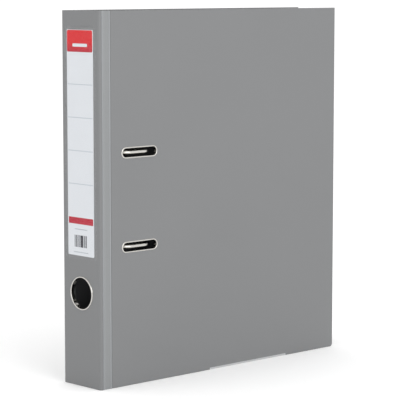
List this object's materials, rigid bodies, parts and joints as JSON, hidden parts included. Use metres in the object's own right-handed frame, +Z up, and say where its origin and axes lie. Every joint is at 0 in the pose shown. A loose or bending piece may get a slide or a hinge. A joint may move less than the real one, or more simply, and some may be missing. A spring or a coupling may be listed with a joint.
{
  "type": "lever arch file",
  "caption": "Narrow-spine lever arch file with creased covers, a finger ring in the spine, slots in the front cover and a lever-opened arch mechanism.",
  "frame": {"origin": "centre of the footprint, on the surface the file stands on", "axes": "+Z up along the spine, +X from the spine to the opening edge, +Y from the front cover to the rear cover"},
  "size_m": [0.286, 0.05, 0.318],
  "materials": {
    "grey_foil": "embossed polypropylene foil, satin",
    "grey_board": "solid greyboard, raw",
    "lining_paper": "smooth grey lining paper",
    "nickel": "bright nickel plate on steel",
    "edge_steel": "drawn steel strip",
    "label_paper": "coated label paper",
    "clear_film": "clear polypropylene film",
    "black_plastic": "moulded polystyrene, satin"
  },
  "bodies": {
    "rear_cover": {"rear_cover_foil": "grey_foil", "rear_cover_board": "grey_board", "rear_cover_lining": "lining_paper", "rear_edge_shoe": "edge_steel", "base_plate": "nickel", "base_rivets": "nickel", "upper_post": "nickel", "lower_post": "nickel", "lever_pin": "nickel"},
    "rear_hinge": {"rear_hinge_foil": "grey_foil", "rear_hinge_board": "grey_board"},
    "spine": {"spine_foil": "grey_foil", "spine_board": "grey_board", "spine_lining": "lining_paper", "finger_ring": "nickel", "finger_ring_washer": "nickel", "spine_label": "label_paper", "label_pocket": "clear_film"},
    "front_hinge": {"front_hinge_foil": "grey_foil", "front_hinge_board": "grey_board"},
    "front_cover": {"front_cover_foil": "grey_foil", "front_cover_board": "grey_board", "front_cover_lining": "lining_paper", "upper_slot_eyelet": "nickel", "lower_slot_eyelet": "nickel", "upper_slot_washer": "nickel", "lower_slot_washer": "nickel", "front_edge_shoe": "edge_steel"},
    "arches": {"arch_wire": "nickel"},
    "lever_arm": {"lever": "nickel", "roller_pin": "nickel"},
    "roller": {"lever_roller": "nickel"},
    "compressor": {"compressor_bar": "black_plastic", "compressor_clips": "nickel"}
  },
  "joints": [
    {"name": "rear_strip_fold", "type": "hinge", "parent": "rear_cover", "child": "rear_hinge", "pos_m": [-0.1307, 0.0237, 0.159], "axis": [0, 0, -1], "range_deg": [0, 90]},
    {"name": "rear_corner_fold", "type": "hinge", "parent": "rear_hinge", "child": "spine", "pos_m": [-0.1383, 0.0237, 0.159], "axis": [0, 0, -1], "range_deg": [0, 90]},
    {"name": "front_strip_fold", "type": "hinge", "parent": "spine", "child": "front_hinge", "pos_m": [-0.1383, -0.0237, 0.159], "axis": [0, 0, -1], "range_deg": [0, 90]},
    {"name": "front_cover_fold", "type": "hinge", "parent": "front_hinge", "child": "front_cover", "pos_m": [-0.1307, -0.0237, 0.159], "axis": [0, 0, -1], "range_deg": [0, 90]},
    {"name": "arch_swing", "type": "hinge", "parent": "rear_cover", "child": "arches", "pos_m": [-0.122, 0.0171, 0.159], "axis": [0, 0, -1], "range_deg": [0, 35]},
    {"name": "lever_lift", "type": "hinge", "parent": "rear_cover", "child": "lever_arm", "pos_m": [-0.102, 0.0121, 0.159], "axis": [0, 0, 1], "range_deg": [0, 90]},
    {"name": "roller_spin", "type": "hinge", "parent": "lever_arm", "child": "roller", "pos_m": [-0.1113, 0.0097, 0.159], "axis": [0, 0, 1], "continuous": true},
    {"name": "compressor_slide", "type": "slide", "parent": "rear_cover", "child": "compressor", "axis": [0, -1, 0], "range_m": [0, 0.018]}
  ],
  "couplings": [
    {"joint": "rear_strip_fold", "follows": "rear_corner_fold", "ratio": 1},
    {"joint": "front_strip_fold", "follows": "front_cover_fold", "ratio": 1},
    {"joint": "arch_swing", "follows": "front_cover_fold", "ratio": 0.38889},
    {"joint": "lever_lift", "follows": "front_cover_fold", "ratio": 1}
  ]
}
